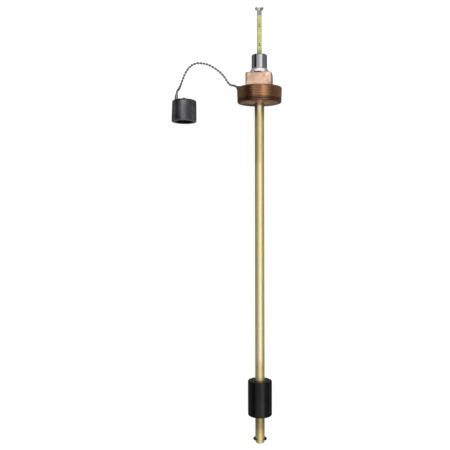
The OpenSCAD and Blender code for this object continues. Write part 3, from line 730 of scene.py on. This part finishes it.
def cap_finish(colour):
    """Charcoal plastic with painted highlights and shade in streaks along it, a painted highlight on the open
    rim, and painted shade at the closed end's corner and in the bore.
    """
    f, base = moulded_finish("charcoal plastic", colour, 0.3, 1500, 0.00002, 0.3)
    off = f.add("ShaderNodeVectorMath", {0: f.place, 1: CAP_END}, operation="SUBTRACT")
    right, up, rise = f.split(off)
    # The painted streaks waver a little from side to side
    waver = f.add("ShaderNodeCombineXYZ", {0: f.times(f.noise(f.place, 500, stretch=(1, 0.05, 1)), 0.0006)})
    ragged = f.add("ShaderNodeVectorMath", {0: off, 1: waver}, operation="ADD")
    base = f.tinted(base, f.around(CAP_PAINTED_LIGHT, ragged))
    # Painted shade at the closed end's corner, a painted highlight on the open rim, and painted shade in the
    # bore
    base = f.coat(base, f.smooth(up, -0.0026, -0.0012), (0.006, 0.006, 0.007), 0.75)
    base = f.coat(base, f.smooth(up, 0.0014 - CAP_DEPTH, 0.0005 - CAP_DEPTH), shade(colour, 2.6), 0.7)
    bore_shade = f.times(f.smooth(f.reach(right, rise), 0.0122, 0.0117), f.smooth(up, -0.004, -0.0048))
    f.set(Base_Color=f.coat(base, bore_shade, (0.0008, 0.0008, 0.0008)))
    return f.material


def float_finish(colour):
    f, base = moulded_finish("float rubber", colour, 0.26, 2400, 0.00002, 0.28)
    # Painted highlight and shade by the angle round the float
    f.set(Base_Color=f.tinted(base, f.around(FLOAT_PAINTED_LIGHT)))
    return f.material


class INDICATOR_OT_studio(bpy.types.Operator):
    """Camera, floor and light tent"""
    bl_idname = "indicator.studio"
    bl_label = "Camera and studio"

    def execute(self, context):
        studio = context.scene.indicator_studio
        lens = bpy.data.cameras.new("camera")
        lens.lens = studio.lens
        lens.sensor_width = 36
        lens.clip_end = 10
        camera = new_piece("camera", lens)
        camera.location = studio.camera_at
        camera.rotation_euler.z = -studio.roll
        context.scene.camera = camera
        context.scene.view_settings.view_transform = "Standard"

        world = bpy.data.worlds.new("white room")
        world.use_nodes = True
        t = Tree(world.node_tree)
        sky = next(n for n in world.node_tree.nodes if n.type == "BACKGROUND")
        t.put(sky.inputs["Strength"], t.calc("ADD", t.times(seen_ray(t), 0.4), 0.6))
        t.put(sky.inputs["Color"], (1, 1, 1, 1))
        context.scene.world = world

        f = Finish("floor paper")
        f.set(Base_Color=f.between(f.noise(f.place, 40, detail=3), studio.floor, 0.98, 1.02), Roughness=1.0,
              Emission_Strength=f.times(seen_ray(f), studio.floor_glow), Emission_Color=(1, 1, 1),
              Specular_IOR_Level=0.0)
        form = bmesh.new()
        bmesh.ops.create_grid(form, x_segments=8, y_segments=8, size=FLOOR_REACH)
        bmesh.ops.translate(form, verts=form.verts, vec=(0, 0, SURFACE - FLOOR_UNDER))
        mesh_piece("floor", form, f.material)

        tent = bpy.data.materials.new("light tent")
        tent.use_nodes = True
        t = Tree(tent.node_tree)
        t.tree.nodes.clear()
        right, back, up = t.split(t.add("ShaderNodeTexCoord").outputs["Object"])
        share = t.calc("ADD", t.calc("DIVIDE", t.calc("ARCTAN2", right, up), math.pi), 0.5)
        bands = t.ramp(share, [(0.5 + angle / 180, bright) for angle, bright in TENT_BANDS])
        # The low part of the tent far past the tape's end is dark
        light = t.add("ShaderNodeEmission", {
            "Color": t.coat(bands, t.smooth(back, 1.0, 1.4), (0.05, 0.05, 0.05)), "Strength": studio.tent})
        t.add("ShaderNodeOutputMaterial", {"Surface": light})
        form = bmesh.new()
        bmesh.ops.create_uvsphere(form, u_segments=96, v_segments=48, radius=TENT_RADIUS)
        low = [v for v in form.verts if v.co.z < SURFACE]
        bmesh.ops.delete(form, geom=low, context="VERTS")
        dome = mesh_piece("light tent", form, tent)
        dome.visible_camera = False

        f = Finish("table card")
        f.set(Base_Color=(0, 0, 0), Roughness=1.0, Specular_IOR_Level=0.0, Emission_Strength=1.0,
              Emission_Color=f.between(f.noise(f.place, 12), studio.table, 0.9, 1.1))
        form = bmesh.new()
        bmesh.ops.create_circle(form, cap_ends=True, segments=64, radius=CARD_RADIUS)
        bmesh.ops.translate(form, verts=form.verts, vec=(0, 0, SURFACE + CARD_OVER))
        card = mesh_piece("table card", form, f.material)
        card.visible_camera = card.visible_diffuse = card.visible_shadow = card.visible_transmission = False

        lamp = bpy.data.lights.new("overhead lamp", "AREA")
        lamp.shape = "RECTANGLE"
        lamp.size, lamp.size_y = LAMP_SIZE
        lamp.energy = studio.lamp
        above = new_piece("overhead_lamp", lamp)
        above.location = LAMP_AT
        above.visible_glossy = False
        above.visible_camera = False
        return {"FINISHED"}


class INDICATOR_OT_bead_chain(bpy.types.Operator):
    """The chain that keeps the cap on the plug"""
    bl_idname = "indicator.bead_chain"
    bl_label = "Bead chain"

    def execute(self, context):
        chain = context.scene.indicator_chain
        line = chain_line()
        length = sum((b - a).length for a, b in zip(line, line[1:]))
        mesh = bpy.data.meshes.new("chain line")
        mesh.from_pydata(line, [(i, i + 1) for i in range(len(line) - 1)], [])
        piece = new_piece("ball_chain", mesh)
        run_tree(piece, bead_tree(chain_finish(chain.metal)), {
            "Beads": round(length / chain.bead_pitch) + 1,
            "Bead diameter": chain.bead_d, "Link diameter": chain.link_d})
        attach(piece, "root")
        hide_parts("bead_chain")
        return {"FINISHED"}


class INDICATOR_OT_tape_scale(bpy.types.Operator):
    """Printed lines and numerals on the tape"""
    bl_idname = "indicator.tape_scale"
    bl_label = "Tape scale"

    def execute(self, context):
        tape = context.scene.indicator_tape
        front = tape.curl / 2 - tape.thickness / 2 - INK / 2
        inner = curl_radius(tape) - tape.thickness / 2 - INK / 2
        material = ink_finish(tape.ink)
        point = bpy.data.meshes.new("scale start")
        point.from_pydata([(0, 0, 0)], [], [])
        lines = new_piece("scale_lines", point)
        step = INCH / 8
        first = tape.first_line + MARKS_ABOVE * step
        run_tree(lines, scale_tree(material), {
            "Marks": int((first - LAST_MARK) / step), "First mark": first, "Step": step, "Width": tape.width,
            "Line": PRINTED_LINE, "Ink": INK, "Curl radius": inner, "Front": front, "Phase": MARKS_ABOVE,
            "Slope": LIE - math.pi / 2})
        figures = new_piece("scale_numerals", numerals(tape, front))
        figures.data.materials.append(material)
        for piece in (lines, figures):
            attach(piece, "tape")
        return {"FINISHED"}


class INDICATOR_OT_metal_finishes(bpy.types.Operator):
    """Finishes of the bronze, brass, nickel and steel parts"""
    bl_idname = "indicator.metal_finishes"
    bl_label = "Metal finishes"

    def execute(self, context):
        metals = context.scene.indicator_metals
        give(bronze_finish(metals), "mounting_plug")
        give(nickel_finish(metals.nickel), "top_fitting")
        give(brass_finish(metals.brass), "stem_tube", "stem_end_plug", "gland_washer")
        give(steel_finish("oxidised spring steel", metals.dark_steel, 0.38), "stop_ring")
        give(steel_finish("pressed steel", metals.steel, 0.34),
             "tape_clip", "pull_tab", "tape_rivets", "holder_pin")
        give(steel_finish("screw steel", shade(metals.steel, 1.15), 0.26), "plug_screw", "cap_screw")
        give(chain_finish(context.scene.indicator_chain.metal), "plug_eyelet", "cap_eyelet")
        return {"FINISHED"}


class INDICATOR_OT_dark_finishes(bpy.types.Operator):
    """Finishes of the rubber, plastic, magnets and tape enamel"""
    bl_idname = "indicator.dark_finishes"
    bl_label = "Rubber, plastic and enamel"

    def execute(self, context):
        dark = context.scene.indicator_darks
        give(float_finish(dark.rubber), "float_body")
        give(cap_finish(dark.cap), "protective_cap")
        for name, colour, rough, pore, nodes in (
                ("black plastic", dark.bush, 0.4, 1500, ("tape_guide", "magnet_holder")),
                ("sintered magnet", dark.magnet, 0.5, 1800, ("float_magnet", "tape_magnet")),
                ("white packing", dark.packing, 0.45, 900, ("stem_packing",))):
            give(moulded_finish(name, colour, rough, pore, 0.00003)[0].material, *nodes)
        give(enamel_finish(context.scene.indicator_tape), "tape_blade")
        return {"FINISHED"}


class INDICATOR_PT_panel(bpy.types.Panel):
    """Lists the sizes, colours and pieces of the indicator"""
    bl_idname = "INDICATOR_PT_panel"
    bl_label = "Tape level indicator"
    bl_space_type = "VIEW_3D"
    bl_region_type = "UI"
    bl_category = "Indicator"

    def draw(self, context):
        for operator in OPERATORS:
            self.layout.operator(operator.bl_idname)
        for name, group in GROUPS.items():
            box = self.layout.box()
            for key in group.__annotations__:
                box.prop(getattr(context.scene, name), key)


GROUPS = {
    "indicator_studio": StudioSettings,
    "indicator_chain": ChainSizes,
    "indicator_tape": TapeSizes,
    "indicator_metals": MetalColours,
    "indicator_darks": DarkColours,
}
OPERATORS = (
    INDICATOR_OT_studio,
    INDICATOR_OT_bead_chain,
    INDICATOR_OT_tape_scale,
    INDICATOR_OT_metal_finishes,
    INDICATOR_OT_dark_finishes,
)


def register():
    for group in GROUPS.values():
        bpy.utils.register_class(group)
    for operator in OPERATORS:
        bpy.utils.register_class(operator)
    bpy.utils.register_class(INDICATOR_PT_panel)
    for name, group in GROUPS.items():
        setattr(bpy.types.Scene, name, PointerProperty(type=group))


def unregister():
    for name in GROUPS:
        delattr(bpy.types.Scene, name)
    bpy.utils.unregister_class(INDICATOR_PT_panel)
    for kind in (*reversed(OPERATORS), *reversed(GROUPS.values())):
        bpy.utils.unregister_class(kind)


def main():
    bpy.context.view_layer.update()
    register()
    bpy.ops.indicator.studio()
    bpy.ops.indicator.bead_chain()
    bpy.ops.indicator.tape_scale()
    bpy.ops.indicator.metal_finishes()
    bpy.ops.indicator.dark_finishes()


if __name__ == "__main__":
    main()
